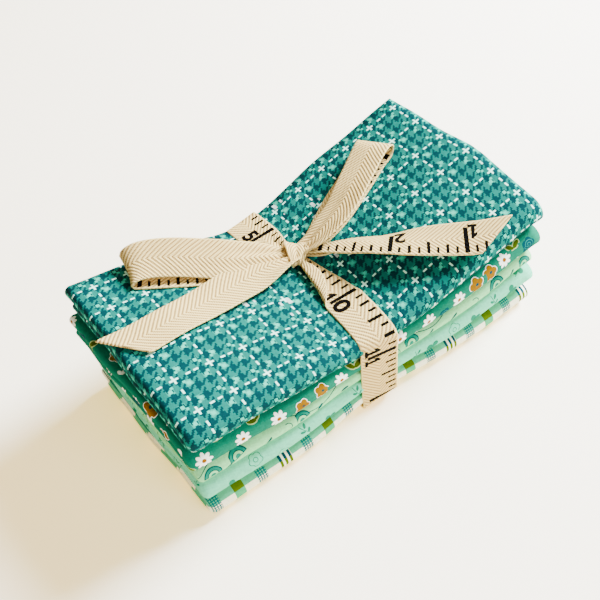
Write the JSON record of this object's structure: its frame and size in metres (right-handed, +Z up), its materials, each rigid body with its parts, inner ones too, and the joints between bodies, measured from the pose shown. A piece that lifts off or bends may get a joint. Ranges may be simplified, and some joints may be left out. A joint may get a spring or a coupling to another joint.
{
  "type": "tied bundle of folded fat quarters",
  "caption": "Stack of folded printed quilting cottons drawn in at the middle by a flat twill tape tied in a bow, in teal, green and mint",
  "frame": {"origin": "on the surface under the middle of the bundle's box", "axes": "+X along the length of the folded cloths, from the end with the blank tape tail to the other; -Y towards the rolled front folds; +Z up"},
  "size_m": [0.1514, 0.083, 0.0588],
  "materials": {
    "cloth_check": "woven cotton, teal and aqua check",
    "cloth_meadow": "printed cotton, green with flowers",
    "cloth_vine": "printed cotton, pale mint with teal vines",
    "cloth_sprig": "printed cotton, mint sprigs",
    "cloth_plaid": "printed cotton, mint and cream plaid",
    "tape": "natural herringbone twill with printed black rule marks"
  },
  "bodies": {
    "root": {"cloth_check": "cloth_check", "cloth_meadow": "cloth_meadow", "cloth_vine": "cloth_vine", "cloth_sprig": "cloth_sprig", "cloth_plaid": "cloth_plaid", "tape": "tape"}
  },
  "joints": []
}
